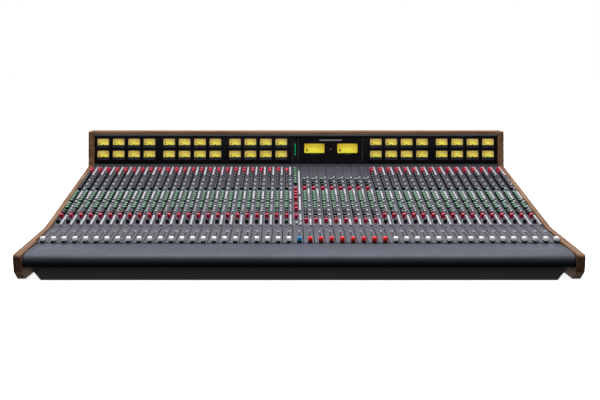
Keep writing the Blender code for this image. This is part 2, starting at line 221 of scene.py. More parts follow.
# CAD nodes that stay in sight: finish, rounding of the edges
CASE = {
    "cheek_left": ("walnut_y", 0.0016),
    "cheek_right": ("walnut_y", 0.0016),
    "bridge_cap": ("walnut_x", 0.0012),
    "bridge_trim": ("trim", 0.0004),
    "bridge_lip": ("lip", 0.0004),
    "led_panel": ("meter_black", 0.0003),
    "vu_panel": ("meter_black", 0.0003),
    "vu_window_left": ("glass", 0.0),
    "vu_window_right": ("glass", 0.0),
    "bridge_rear_cover": ("case_black", 0.0004),
    "rear_panel": ("case_black", 0.0004),
    "base_pan": ("case_black", 0.0004),
    "front_apron": ("apron", 0.0008),
    "front_rail": ("steel", 0.0008),
    "mid_rail": ("steel", 0.0008),
    "rear_rail": ("steel", 0.0008),
    "bus_board": ("board", 0.0),
}

# Camera
EYE = Vector((-0.035, -2.244, 0.652))
LENS = 45.0
LOOK_DOWN = radians(10)
SIDE_SHIFT = 0.0203


# Work surfaces


class Plane:
    """The outer face of a leaning plate, from the plate's own box."""

    def __init__(self, nodes, lean):
        boxes = [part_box(node) for node in nodes]
        low = Vector([min(box[0][axis] for box in boxes) for axis in range(3)])
        high = Vector([max(box[1][axis] for box in boxes) for axis in range(3)])
        size = high - low
        across = cos(lean) ** 2 - sin(lean) ** 2
        self.length = (size.y * cos(lean) - size.z * sin(lean)) / across
        self.thickness = (size.z * cos(lean) - size.y * sin(lean)) / across
        self.foot = Vector((0, low.y, low.z + self.thickness * cos(lean)))
        self.x0 = low.x
        self.x1 = high.x
        self.up = Vector((0, cos(lean), sin(lean)))
        self.out = Vector((0, -sin(lean), cos(lean)))
        self.turn = Matrix.Rotation(lean, 4, "X")

    def at(self, x, u, h=0.0):
        return self.foot + Vector((x, 0, 0)) + self.up * u + self.out * h

    def place(self, x, u, h=0.0, turn=0.0):
        """The matrix that stands a shape on the surface, turned about the surface's normal."""
        return Matrix.Translation(self.at(x, u, h)) @ self.turn @ Matrix.Rotation(turn, 4, "Z")

    def level(self, point):
        """Distance of a point up the surface."""
        return (Vector(point) - self.foot).dot(self.up)


JOINTS = {joint["name"]: joint for joint in frame["joints"]}


def lean_of(joint, normal):
    """Lean of the surface that a joint's axis runs up, or stands square to."""
    _, y, z = JOINTS[joint]["axis"]
    return atan2(y, -z) if normal else atan2(z, y)


SECTIONS = ("left", "centre", "right")
FADERS = Plane(["fader_panel_" + s for s in SECTIONS], lean_of("master_fader_slide", False))
UPPER = Plane(["control_panel_" + s for s in SECTIONS], lean_of("channel_pan_turn", True))
FACE = Plane(["led_panel"], lean_of("vu_left_swing", True))
MODULE = (UPPER.x1 - UPPER.x0) / MODULES
TRAVEL = JOINTS["master_fader_slide"]["range_m"][1]
ROOT = "console"


def module_edge(index):
    return UPPER.x0 + index * MODULE


def module_middle(index):
    return UPPER.x0 + (index + 0.5) * MODULE


def fader_line(index):
    return module_edge(index) + FADER_LINE


# Materials


class Look:
    """A Principled material whose colour, roughness and bump vary through its nodes."""

    def __init__(self, name, rough=0.5, metal=0.0, specular=0.5):
        self.made = bpy.data.materials.new(name)
        self.made.use_nodes = True
        self.nodes = self.made.node_tree.nodes
        self.links = self.made.node_tree.links
        self.shader = self.nodes["Principled BSDF"]
        self.set("Roughness", rough)
        self.set("Metallic", metal)
        self.set("Specular IOR Level", specular)
        self.where = self.add("ShaderNodeTexCoord").outputs["Object"]

    def set(self, socket, value):
        self.shader.inputs[socket].default_value = value

    def add(self, kind, **settings):
        node = self.nodes.new(kind)
        for name, value in settings.items():
            setattr(node, name, value)
        return node

    def link(self, source, target):
        self.links.new(source, target)

    def stretched(self, along, across_scale, along_scale):
        """Coordinates for a figure that is drawn out along one axis."""
        scale = [across_scale] * 3
        scale["XYZ".index(along)] = along_scale
        mapping = self.add("ShaderNodeMapping")
        mapping.inputs["Scale"].default_value = scale
        self.link(self.where, mapping.inputs["Vector"])
        return mapping.outputs["Vector"]

    def noise(self, scale, detail=4.0, where=None, distortion=0.0):
        node = self.add("ShaderNodeTexNoise")
        node.inputs["Scale"].default_value = scale
        node.inputs["Detail"].default_value = detail
        node.inputs["Distortion"].default_value = distortion
        self.link(where or self.where, node.inputs["Vector"])
        return node.outputs["Fac"]

    def cells(self, scale, feature="F1"):
        node = self.add("ShaderNodeTexVoronoi", feature=feature)
        node.inputs["Scale"].default_value = scale
        self.link(self.where, node.inputs["Vector"])
        return node.outputs["Distance"]

    def ramp(self, source, *stops):
        node = self.add("ShaderNodeValToRGB")
        ramp = node.color_ramp
        while len(ramp.elements) < len(stops):
            ramp.elements.new(0.5)
        for element, (place, colour) in zip(ramp.elements, stops):
            element.position = place
            element.color = (*colour, 1.0)
        self.link(source, node.inputs["Fac"])
        return node.outputs["Color"]

    def between(self, source, low, high, first=0.3, last=0.7):
        """The source, stretched from first..last to low..high."""
        node = self.add("ShaderNodeMapRange")
        for socket, value in zip(("From Min", "From Max", "To Min", "To Max"), (first, last, low, high)):
            node.inputs[socket].default_value = value
        self.link(source, node.inputs["Value"])
        return node.outputs["Result"]

    def math(self, operation, a, b):
        node = self.add("ShaderNodeMath", operation=operation)
        for socket, value in zip(node.inputs, (a, b)):
            if isinstance(value, (int, float)):
                socket.default_value = value
            else:
                self.link(value, socket)
        return node.outputs["Value"]

    def mixed(self, a, a_weight, b, b_weight):
        return self.math("ADD", self.math("MULTIPLY", a, a_weight), self.math("MULTIPLY", b, b_weight))

    def parts(self, vector):
        """The outputs X, Y and Z of a vector."""
        node = self.add("ShaderNodeSeparateXYZ")
        self.link(vector, node.inputs["Vector"])
        return node.outputs

    def colour(self, source):
        self.link(source, self.shader.inputs["Base Color"])

    def glow(self, source, strength):
        """Colour that the surface also gives off."""
        self.colour(source)
        self.link(source, self.shader.inputs["Emission Color"])
        self.set("Emission Strength", strength)

    def rough(self, source, low, high):
        self.link(self.between(source, low, high), self.shader.inputs["Roughness"])

    def bump(self, source, distance, strength=1.0):
        node = self.add("ShaderNodeBump")
        node.inputs["Distance"].default_value = distance
        node.inputs["Strength"].default_value = strength
        self.link(source, node.inputs["Height"])
        self.link(node.outputs["Normal"], self.shader.inputs["Normal"])


def shade(colour, factor):
    return tuple(min(1.0, part * factor) for part in colour)


def paint(name, colour, rough, spread, specular, grain=900.0, bump=0.00004):
    """Paint or moulded plastic: fine grain over slow changes of tone."""
    look = Look(name + "_finish", rough, specular=specular)
    slow = look.noise(9.0, 3.0)
    fine = look.noise(grain, 2.0)
    tone = look.mixed(slow, 0.65, fine, 0.35)
    look.colour(look.ramp(tone, (0.3, shade(colour, 1 - spread)), (0.7, shade(colour, 1 + spread))))
    look.rough(look.noise(60.0), rough - 0.06, rough + 0.08)
    look.bump(fine, bump)
    return look.made


def walnut(name, along):
    """Oiled walnut, its grain running along one axis."""
    look = Look(name, 0.50, specular=0.12)
    stretched = look.stretched(along, 26.0, 1.5)
    figure = look.noise(1.6, 6.0, stretched, 0.9)
    pores = look.noise(9.0, 5.0, stretched, 0.2)
    look.colour(look.ramp(
        look.mixed(figure, 0.72, pores, 0.28),
        (0.30, (0.100, 0.044, 0.019)),
        (0.45, (0.190, 0.096, 0.048)),
        (0.56, (0.260, 0.145, 0.080)),
        (0.72, (0.330, 0.195, 0.115)),
    ))
    look.rough(pores, 0.46, 0.62)
    look.bump(pores, 0.0002, 0.5)
    return look.made


def leatherette():
    """Dark grey vinyl with a pebbled grain and faint stretch marks; its colour is paler on top as a painted
    reflection and falls to near black towards the bottom as painted shade.
    """
    look = Look("pad_leatherette", 0.42, specular=0.30)
    pebbles = look.cells(620.0)
    folds = look.noise(34.0, 5.0)
    pale = look.ramp(look.noise(5.0, 3.0), (0.3, (0.045, 0.052, 0.073)), (0.7, (0.057, 0.065, 0.092)))
    # Painted light: below the crown the colour is scaled down to about a thirtieth, painted shade on the
    # front and underside, while the full tone on top stands in for the reflection of the bright room.
    height = look.between(look.parts(look.where)["Z"], 0.035, 1.0, 0.050, 0.080)
    painted_light_vinyl = look.add("ShaderNodeVectorMath", operation="SCALE")
    look.link(pale, painted_light_vinyl.inputs[0])
    look.link(height, painted_light_vinyl.inputs["Scale"])
    look.colour(painted_light_vinyl.outputs["Vector"])
    look.rough(folds, 0.38, 0.50)
    look.bump(look.mixed(pebbles, 0.8, folds, 0.6), 0.00035, 0.55)
    look.set("Sheen Weight", 0.04)
    look.set("Sheen Roughness", 0.4)
    return look.made


def lit_dial(name, colours):
    """Backlit card: brightest low in the middle, dimmer in the upper corners."""
    look = Look(name, 0.5)
    local = look.parts(look.add("ShaderNodeAttribute", attribute_name="local").outputs["Vector"])
    side = look.math("MULTIPLY", look.math("ABSOLUTE", local["X"], 0.0), 0.60)
    side = look.math("MULTIPLY", side, side)
    height = look.math("MULTIPLY", look.math("ADD", local["Y"], 1.0), 0.24)
    fibre = look.math("MULTIPLY", look.noise(240.0, 3.0), 0.10)
    dim = look.math("ADD", look.math("ADD", side, height), fibre)
    look.glow(look.ramp(dim, *zip((0.10, 0.42, 0.75), colours)), 0.62)
    return look.made


def lens(name, colour, strength):
    """A small moulded indicator lens that glows: lit from inside on a lit lamp, a faint painted glow on an
    unlit one.
    """
    look = Look(name, 0.25)
    cloud = look.noise(700.0, 2.0)
    look.glow(look.ramp(cloud, (0.3, shade(colour, 0.8)), (0.7, shade(colour, 1.15))), strength)
    return look.made


def brushed(name, colour, rough, along):
    look = Look(name, rough, metal=1.0)
    lines = look.noise(1.0, 4.0, look.stretched(along, 900.0, 12.0))
    look.colour(look.ramp(lines, (0.3, shade(colour, 0.85)), (0.7, shade(colour, 1.1))))
    look.rough(lines, rough - 0.08, rough + 0.10)
    look.bump(lines, 0.00003)
    return look.made


def clear_glass():
    look = Look("meter_glass", 0.03)
    look.set("Transmission Weight", 1.0)
    look.set("IOR", 1.45)
    haze = look.noise(18.0, 3.0)
    look.colour(look.ramp(haze, (0.3, (0.93, 0.95, 0.93)), (0.7, (0.98, 0.99, 0.98))))
    look.rough(haze, 0.01, 0.05)
    return look.made


def circuit_board():
    look = Look("circuit_board", 0.45)
    tracks = look.cells(120.0, "DISTANCE_TO_EDGE")
    look.colour(look.ramp(tracks, (0.05, (0.10, 0.22, 0.06)), (0.12, (0.010, 0.080, 0.035))))
    look.bump(tracks, 0.0001)
    return look.made


# Paints and mouldings: record slot, colour, roughness, spread of tone, specular,
# and the grain and bump where they differ from the usual
PAINTS = {
    "panel": ("panel_grey", (0.060, 0.060, 0.078), 0.42, 0.14, 0.4, 1400.0, 0.00003),
    "trim": ("trim_grey", (0.092, 0.104, 0.146), 0.42, 0.12, 0.5),
    "lip": ("trim_grey", (0.092, 0.091, 0.106), 0.42, 0.12, 0.5),
    "band": ("meter_black", (0.026, 0.025, 0.032), 0.45, 0.15, 0.5),
    "meter_black": ("meter_black", (0.0040, 0.0035, 0.0050), 0.42, 0.2, 0.25),
    "gloss_black": ("meter_black", (0.0035, 0.0032, 0.0045), 0.16, 0.2, 0.4),
    # Apron: the case's black made about eight times lighter, painted light standing in for light that its
    # front face doesn't get.
    "apron": ("case_black", (0.185, 0.160, 0.160), 0.60, 0.15, 0.3, 700.0, 0.00008),
    "case_black": ("case_black", (0.022, 0.018, 0.019), 0.60, 0.15, 0.3, 700.0, 0.00008),
    "ink": ("needle_black", (0.018, 0.014, 0.010), 0.5, 0.2, 0.5),
    "red_ink": ("cap_red", (0.42, 0.030, 0.012), 0.5, 0.2, 0.5),
    "print": ("cap_white", (0.75, 0.75, 0.73), 0.55, 0.12, 0.5),
    "print_grey": ("trim_grey", (0.34, 0.34, 0.36), 0.55, 0.12, 0.5),
    "print_dim": ("trim_grey", (0.11, 0.11, 0.12), 0.55, 0.15, 0.5),
    "name_strip": ("cap_white", (0.36, 0.36, 0.36), 0.45, 0.12, 0.5),
    "knob_black": ("knob_black", (0.0045, 0.0045, 0.0055), 0.40, 0.2, 0.22),
    "knob_red": ("knob_red", (0.560, 0.008, 0.055), 0.36, 0.12, 0.3),
    # Pale green painted highlight for the tops of the green knobs.
    "knob_green": ("knob_black", (0.115, 0.260, 0.165), 0.40, 0.12, 0.3),
    "knob_side_green": ("knob_black", (0.008, 0.030, 0.015), 0.40, 0.12, 0.22),
    "knob_sage": ("knob_black", (0.120, 0.190, 0.150), 0.40, 0.12, 0.3),
    "knob_grey": ("knob_black", (0.040, 0.040, 0.044), 0.40, 0.12, 0.25),
    "white": ("cap_white", (0.68, 0.69, 0.72), 0.38, 0.06, 0.5),
    "cap_red": ("cap_red", (0.80, 0.016, 0.022), 0.36, 0.08, 0.22),
    "cap_blue": ("cap_blue", (0.008, 0.210, 0.480), 0.36, 0.08, 0.22),
    "cap_white": ("cap_white", (0.88, 0.88, 0.87), 0.36, 0.05, 0.5),
    "cap_dark": ("knob_black", (0.012, 0.012, 0.014), 0.40, 0.15, 0.5),
    # Near-black for openings: painted shade for the cross of a screw and the mouth of a jack, which are flat
    # marks and plugs rather than hollows; also the dark insert of the socket faces.
    "hole": ("case_black", (0.006, 0.006, 0.006), 0.7, 0.2, 0.5),
}
VU_CARD = ((0.95, 0.88, 0.055), (0.82, 0.64, 0.035), (0.58, 0.34, 0.022))
METER_CARD = ((0.88, 0.78, 0.075), (0.66, 0.50, 0.090), (0.44, 0.28, 0.110))
FINISHES = {name: (slot, paint(name, *settings)) for name, (slot, *settings) in PAINTS.items()}
FINISHES |= {
    "walnut_y": ("walnut", walnut("walnut_along_cheek", "Y")),
    "walnut_x": ("walnut", walnut("walnut_along_cap", "X")),
    "pad": ("pad_vinyl", leatherette()),
    "steel": ("steel", brushed("zinc_plate", (0.52, 0.52, 0.54), 0.38, "X")),
    "nickel": ("steel", brushed("nickel_shell", (0.60, 0.59, 0.57), 0.30, "Z")),
    "board": ("board_green", circuit_board()),
    "dial": ("dial_yellow", lit_dial("vu_card", VU_CARD)),
    "dial_small": ("dial_yellow", lit_dial("meter_card", METER_CARD)),
    "glass": ("clear_glass", clear_glass()),
    "led_green": ("dial_yellow", lens("led_green", (0.010, 0.42, 0.16), 0.55)),
    "led_red": ("cap_red", lens("led_red", (0.42, 0.030, 0.030), 0.35)),
    # Unlit lamps: a faint painted glow keeps their colour showing.
    "led_off": ("cap_red", lens("led_off", (0.42, 0.040, 0.080), 0.05)),
    "led_off_green": ("board_green", lens("led_off_green", (0.040, 0.200, 0.120), 0.02)),
}


# Shapes: small meshes that are stamped many times into one piece


class Shape:
    """Points, faces and the finish of each face."""

    def __init__(self, mesh, finishes):
        self.points = np.empty(len(mesh.vertices) * 3)
        mesh.vertices.foreach_get("co", self.points)
        self.points = self.points.reshape(-1, 3)
        self.corners = np.empty(len(mesh.loops), np.int32)
        mesh.loops.foreach_get("vertex_index", self.corners)
        self.starts = np.empty(len(mesh.polygons), np.int32)
        mesh.polygons.foreach_get("loop_start", self.starts)
        numbers = np.zeros(len(mesh.polygons), np.int32)
        mesh.polygons.foreach_get("material_index", numbers)
        self.finishes = [finishes[number] for number in numbers]
        bpy.data.meshes.remove(mesh)


def shape_of(work, *finishes):
    mesh = bpy.data.meshes.new("shape")
    work.to_mesh(mesh)
    work.free()
    return Shape(mesh, finishes)


def lathe(rings, steps=20, ribs=None):
    """Turned shape from (radius, height, finish) rings, top to bottom; each finish covers the band below its
    ring. ribs is (first ring, last ring, depth) of the fluted stretch."""
    finishes = sorted({finish for _, _, finish in rings})
    points = []
    for number, (radius, height, _) in enumerate(rings):
        for k in range(steps):
            angle = 2 * pi * k / steps
            fluted = ribs and ribs[0] <= number <= ribs[1] and k % 2
            reach = radius - ribs[2] if fluted else radius
            points.append((reach * cos(angle), reach * sin(angle), height))
    faces = [list(range(steps))]
    marks = [finishes.index(rings[0][2])]
    for number in range(len(rings) - 1):
        for k in range(steps):
            a, b = number * steps + k, number * steps + (k + 1) % steps
            faces.append((a, a + steps, b + steps, b))
            marks.append(finishes.index(rings[number][2]))
    last = (len(rings) - 1) * steps
    faces.append([last + k for k in reversed(range(steps))])
    marks.append(finishes.index(rings[-1][2]))
    mesh = bpy.data.meshes.new("turned")
    mesh.from_pydata(points, [], faces)
    mesh.polygons.foreach_set("material_index", marks)
    return Shape(mesh, finishes)


def turned(finish, steps, *rings):
    """Turned shape in one finish, from (radius, height) rings."""
    return lathe([(radius, height, finish) for radius, height in rings], steps)


def add_box(work, size, place):
    for vertex in bmesh.ops.create_cube(work, size=1)["verts"]:
        vertex.co = place @ Vector([c * s for c, s in zip(vertex.co, size)])


def block(size, finish, bevel=0.0, centre=(0, 0, 0)):
    """A box, its edges rounded when bevel isn't 0."""
    work = bmesh.new()
    add_box(work, size, Matrix.Translation(centre))
    if bevel:
        bmesh.ops.bevel(work, geom=work.edges[:], offset=bevel, segments=2, affect="EDGES", profile=0.5)
    return shape_of(work, finish)


def prism(ends):
    """A bmesh that joins two outlines of the same number of points."""
    work = bmesh.new()
    ends = [[work.verts.new(point) for point in end] for end in ends]
    count = len(ends[0])
    work.faces.new(ends[0])
    work.faces.new(list(reversed(ends[1])))
    for k in range(count):
        following = (k + 1) % count
        work.faces.new((ends[0][k], ends[1][k], ends[1][following], ends[0][following]))
    bmesh.ops.recalc_face_normals(work, faces=work.faces)
    return work


def close_spline(curve, points):
    spline = curve.splines.new("POLY")
    spline.points.add(len(points) - 1)
    for point, place in zip(spline.points, points):
        point.co = (*place, 1)
    spline.use_cyclic_u = True


def mesh_of(curve):
    """The mesh that a curve or a text makes. The curve is used up."""
    holder = bpy.data.objects.new("holder", curve)
    mesh = bpy.data.meshes.new_from_object(holder)
    bpy.data.objects.remove(holder)
    bpy.data.curves.remove(curve)
    return mesh


def welded(curve, gap, finish, sink=0.0):
    """The shape of a curve or a text, with points closer than the gap joined, lowered by sink."""
    mesh = mesh_of(curve)
    work = bmesh.new()
    work.from_mesh(mesh)
    bpy.data.meshes.remove(mesh)
    bmesh.ops.remove_doubles(work, verts=work.verts, dist=gap)
    bmesh.ops.translate(work, verts=work.verts, vec=(0, 0, -sink))
    for face in work.faces:
        face.material_index = 0
    return shape_of(work, finish)


def sheet(outlines, thickness, finish, bevel=0.0):
    """A flat plate with its outer face at h = 0; the first outline is its edge, the others are holes."""
    curve = bpy.data.curves.new("sheet", "CURVE")
    curve.dimensions = "2D"
    curve.fill_mode = "BOTH"
    curve.extrude = thickness / 2 - bevel
    curve.bevel_depth = bevel
    curve.bevel_resolution = 1
    curve.offset = -bevel
    curve.resolution_u = 1
    for outline in outlines:
        close_spline(curve, [(x, y, 0) for x, y in outline])
    return welded(curve, 0.00002, finish, thickness / 2)


def rectangle(x0, y0, x1, y1):
    return [(x0, y0), (x1, y0), (x1, y1), (x0, y1)]


def round_hole(x, y, radius, steps=16):
    angles = [2 * pi * k / steps for k in range(steps)]
    return [(x + radius * cos(angle), y + radius * sin(angle)) for angle in angles]


def rounded_box(wide, high, radius, x=0.0, y=0.0, steps=4):
    """Outline of a rectangle with round corners, centred on (x, y)."""
    reach = Vector((wide / 2 - radius, high / 2 - radius))
    points = []
    for side, end, first in ((1, -1, -90), (1, 1, 0), (-1, 1, 90), (-1, -1, 180)):
        for k in range(steps + 1):
            angle = radians(first + 90 * k / steps)
            points.append((x + side * reach.x + radius * cos(angle), y + end * reach.y + radius * sin(angle)))
    return points


def in_scene(name, data):
    made = bpy.data.objects.new(name, data)
    bpy.context.scene.collection.objects.link(made)
    return made


def dressed(name, mesh, finishes, body=ROOT):
    """A piece in these finishes, riding on a body."""
    for finish in finishes:
        mesh.materials.append(FINISHES[finish][1])
    piece = in_scene(name, mesh)
    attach(piece, body)
    return piece


def stamped(name, stamps, body=ROOT, local=None):
    """One piece from (shape, matrix) pairs; local holds dial coordinates for its points."""
    if not stamps:
        return None
    finishes = list(dict.fromkeys(finish for shape, _ in stamps for finish in shape.finishes))
    points, corners, starts, numbers = [], [], [], []
    point_count = corner_count = 0
    for shape, matrix in stamps:
        grid = np.array(matrix)
        points.append(shape.points @ grid[:3, :3].T + grid[:3, 3])
        corners.append(shape.corners + point_count)
        starts.append(shape.starts + corner_count)
        numbers.append(np.array([finishes.index(finish) for finish in shape.finishes], np.int32))
        point_count += len(shape.points)
        corner_count += len(shape.corners)
    points, corners = np.concatenate(points), np.concatenate(corners)
    starts, numbers = np.concatenate(starts), np.concatenate(numbers)
    mesh = bpy.data.meshes.new(name)
    mesh.vertices.add(len(points))
    mesh.vertices.foreach_set("co", points.astype(np.float32).ravel())
    mesh.loops.add(len(corners))
    mesh.loops.foreach_set("vertex_index", corners)
    mesh.polygons.add(len(starts))
    mesh.polygons.foreach_set("loop_start", starts)
    mesh.polygons.foreach_set("material_index", numbers)
    mesh.update(calc_edges=True)
    mesh.shade_smooth()
    mesh.set_sharp_from_angle(angle=radians(35))
    if local is not None:
        mesh.attributes.new("local", "FLOAT_VECTOR", "POINT").data.foreach_set("vector", local.ravel())
    return dressed(name, mesh, finishes, body)


# Knobs, buttons, faders


def knob_shape(radius, height, body, top):
    """Fluted knob with a flange, and a low domed top that may have another colour: a cap of its own, or on
    green knobs a painted highlight.
    """
    foot = KNOB_FOOT
    rings = [
        (radius * 0.30, height, top),
        (radius * 0.74, height - 0.0002, top),
        (radius * 0.82, height - 0.0007, body),
        (radius * 0.85, height - 0.0013, body),
        (radius * 0.90, foot + 0.0026, body),
        (radius * 0.99, foot + 0.0021, body),
        (radius, foot + 0.0004, body),
        (radius * 0.95, foot, body),
    ]
    return lathe(rings, 24, (3, 4, radius * 0.055))


def pointer_shape(radius, height):
    """White line: a strip over the top, and its continuation down the side."""
    work = bmesh.new()
    for low, high in (
        ((radius * 0.12, height - 0.0006), (radius * 0.72, height + 0.00012)),
        ((radius * 0.66, KNOB_FOOT + 0.003), (radius * 0.875, height - 0.0009)),
    ):
        middle = (0, (low[0] + high[0]) / 2, (low[1] + high[1]) / 2)
        add_box(work, (0.0009, high[0] - low[0], high[1] - low[1]), Matrix.Translation(middle))
    return shape_of(work, "print")


def button_shape(finish):
    wide, long, tall = BUTTON
    return block((wide, long, tall + 0.004), finish, BUTTON_BEVEL, (0, 0, (tall - 0.004) / 2))


def bezel_shape():
    """Thin black frame that a button comes through."""
    wide, long = BUTTON[0] / 2 + BUTTON_HOLE, BUTTON[1] / 2 + BUTTON_HOLE
    edge = rectangle(-wide - BUTTON_RIM, -long - BUTTON_RIM, wide + BUTTON_RIM, long + BUTTON_RIM)
    return sheet([edge, rectangle(-wide, -long, wide, long)], 0.0006, "knob_black")


def runs(groups):
    """(kind, distance up the strip) of every control in some runs."""
    return [(kind, first + k * pitch) for kind, first, pitch, count in groups for k in range(count)]


def layout(index):
    """The knobs and the buttons of a module."""
    if index == MASTER:
        return runs(MASTER_KNOBS), runs(MASTER_BUTTONS)
    if index in BANKS["groups"]:
        return runs(GROUP_KNOBS), runs(GROUP_BUTTONS)
    return runs(CHANNEL_KNOBS), runs(CHANNEL_BUTTONS)


def middle_of(node):
    low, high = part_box(node)
    return (low + high) / 2


HINGES = {joint["child"]: Vector(joint["pos_m"]) for joint in frame["joints"] if joint["type"] == "hinge"}
MOVING_KNOBS = {node: place for node, place in HINGES.items() if node.endswith("_knob")}
MOVING_BUTTONS = {node: middle_of(node) for node in frame["nodes"] if node.endswith("_button")}


def taken(x, u, places, reach):
    """Whether a moving control already stands at this place."""
    return any(abs(p.x - x) < 0.004 and abs(UPPER.level(p) - u) < reach for p in places.values())


def ticks_shape(radius):
    """Printed scale round a knob."""
    work = bmesh.new()
    for k in range(TICKS):
        turn = Matrix.Rotation(-TICK_SWEEP + 2 * TICK_SWEEP * k / (TICKS - 1), 4, "Z")
        add_box(work, TICK, turn @ Matrix.Translation((0, radius + 0.0014, 0)))
    return shape_of(work, "print_grey")


def turn_of(index, row):
    """Where a knob is set: spread over its range in a fixed pattern."""
    return radians(((row * 47 + index * index * 13) % 23 - 11) * 6.0)


def controls(bank, modules):
    """The fixed knobs and buttons of a bank, with their scales and frames."""
    knobs, pointers, ticks, buttons, bezels = {}, [], [], {}, []
    shapes = {kind: knob_shape(*sizes) for kind, sizes in KNOBS.items()}
    lines = {kind: pointer_shape(*sizes[:2]) for kind, sizes in KNOBS.items()}
    scales = {kind: ticks_shape(sizes[0]) for kind, sizes in KNOBS.items()}
    caps = {"white": button_shape("white"), "dark": button_shape("knob_black")}
    bezel = bezel_shape()
    for index in modules:
        x = module_edge(index) + KNOB_LINE
        knob_list, button_list = layout(index)
        for row, (kind, u) in enumerate(knob_list):
            ticks.append((scales[kind], UPPER.place(x, u)))
            if taken(x, u, MOVING_KNOBS, 0.010):
                continue
            place = UPPER.place(x, u, 0.0, turn_of(index, row))
            knobs.setdefault(kind, []).append((shapes[kind], place))
            pointers.append((lines[kind], place))
        x = module_edge(index) + BUTTON_LINE
        for kind, u in button_list:
            if taken(x, u, MOVING_BUTTONS, 0.0075):
                continue
            buttons.setdefault(kind, []).append((caps[kind], UPPER.place(x, u)))
            bezels.append((bezel, UPPER.place(x, u, 0.0005)))
    for kind, stamps in knobs.items():
        stamped(f"{kind}_knobs_{bank}", stamps)
    for kind, stamps in buttons.items():
        stamped(f"{kind}_buttons_{bank}", stamps)
    stamped(f"knob_lines_{bank}", pointers)
    stamped(f"knob_scales_{bank}", ticks)
    stamped(f"button_bezels_{bank}", bezels)


def moving_controls():
    """Detailed knobs and buttons on the bodies that move."""
    for node, place in MOVING_KNOBS.items():
        low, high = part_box(node)
        radius = (high.x - low.x) / 2
        height = (high - place).dot(UPPER.out) - radius * sin(atan2(-UPPER.out.y, UPPER.out.z)) * 0.8
        finish = "knob_black" if "pan" in node else "knob_red"
        stand = UPPER.place(place.x, UPPER.level(place))
        stamps = [(knob_shape(radius, height, finish, finish), stand), (pointer_shape(radius, height), stand)]
        shaft = turned("steel", 16, (0.003, KNOB_FOOT + 0.001), (0.003, -0.008))
        piece = stamped(node + "_cap", [*stamps, (shaft, stand)], node)
        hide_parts(node)
    for node, place in MOVING_BUTTONS.items():
        finish = "knob_black" if "mute" in node else "white"
        stand = UPPER.place(place.x, UPPER.level(place))
        piece = stamped(node + "_cap", [(button_shape(finish), stand)], node)
        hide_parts(node)


def cap_shapes(top):
    """Fader cap: dark skirt, coloured body with a finger dip, a line across the dip, and the stem."""
    wide, long, base, tall = CAP
    reach = long / 2 - 0.0064
    dip = [(t * reach, tall - CAP_DIP * cos(t * pi / 2)) for t in np.linspace(-1, 1, 11)]
    flank = [(long / 2 - 0.0056, tall), (long / 2 - 0.0042, tall - 0.0012), (long / 2, base + 0.0042)]
    outline = [(-y, z) for y, z in reversed(flank)] + dip + flank
    work = prism([[(x, y, z) for y, z in outline] for x in (-wide / 2, wide / 2)])
    sharp = [edge for edge in work.edges if edge.calc_face_angle(0) > radians(40)]
    bmesh.ops.bevel(work, geom=sharp, offset=0.0006, segments=2, affect="EDGES", profile=0.5)
    body = shape_of(work, top)
    foot = block((wide - 0.0004, long - 0.0004, 0.0040), "cap_dark", 0.0004, (0, 0, base + 0.0020))
    stem = block((0.0012, 0.0058, 0.0100), "steel", 0.0002, (0, 0, -0.0030))
    line = "cap_dark" if top == "cap_white" else "print"
    return [body, foot, stem, block((wide - 0.0012, 0.0010, 0.0006), line, 0, (0, 0, tall - CAP_DIP))]


def faders():
    """Detailed caps on the bodies that slide, and the fixed caps of the other channels."""
    rest = FADERS.level(middle_of("master_fader"))
    caps = {kind: cap_shapes(top) for kind, top in CAP_FINISH.items()}
    taken_modules = {MASTER}
    for node in frame["nodes"]:
        kind = node.split("_")[0]
        if kind not in CAP_FINISH or "_fader" not in node:
            continue
        x = middle_of(node).x
        taken_modules.add(int((x - UPPER.x0) / MODULE))
        place = FADERS.place(x, rest)
        piece = stamped(node + "_cap", [(shape, place) for shape in caps[kind]], node)
        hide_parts(node)
    for bank, modules in BANKS.items():
        still = [FADERS.place(fader_line(i), rest) for i in modules if i not in taken_modules]
        stamped("fader_caps_" + bank, [(shape, place) for place in still for shape in caps["channel"]])
    return rest


# Panels


def control_strip(index):
    """A module's upper panel: rounded edges, and a hole for each control that moves."""
    half = MODULE / 2
    outlines = [rectangle(-half + STRIP_GAP / 2, 0.0004, half - STRIP_GAP / 2, UPPER.length - 0.0004)]
    w, d = BUTTON[0] / 2 + BUTTON_HOLE, BUTTON[1] / 2 + BUTTON_HOLE
    for node, place in (MOVING_KNOBS | MOVING_BUTTONS).items():
        x, u = place.x - module_middle(index), UPPER.level(place)
        if abs(x) < half:
            knob = node in MOVING_KNOBS
            outlines.append(round_hole(x, u, SHAFT_HOLE) if knob else rectangle(x - w, u - d, x + w, u + d))
    return sheet(outlines, STRIP_T, "panel", STRIP_BEVEL)


def fader_strip(rest):
    """A module's fader panel: narrower beside its fader, with the slot that the stem runs in."""
    half = MODULE / 2 - STRIP_GAP / 2
    narrow = MODULE / 2 - GROOVE / 2
    end = FADERS.length - 0.0004
    edge = [(-narrow, 0.0004), (narrow, 0.0004), (narrow, GROOVE_TOP), (half, GROOVE_TOP + 0.001),
            (half, end), (-half, end), (-half, GROOVE_TOP + 0.001), (-narrow, GROOVE_TOP)]
    low, high = rest - CAP_MARGIN, rest + TRAVEL + CAP_MARGIN
    middle = FADER_LINE - MODULE / 2
    slot = rounded_box(CAP_SLOT_W, high - low, CAP_SLOT_W / 2 - 0.0001, middle, (low + high) / 2)
    return sheet([edge, slot], STRIP_T, "panel", STRIP_BEVEL)


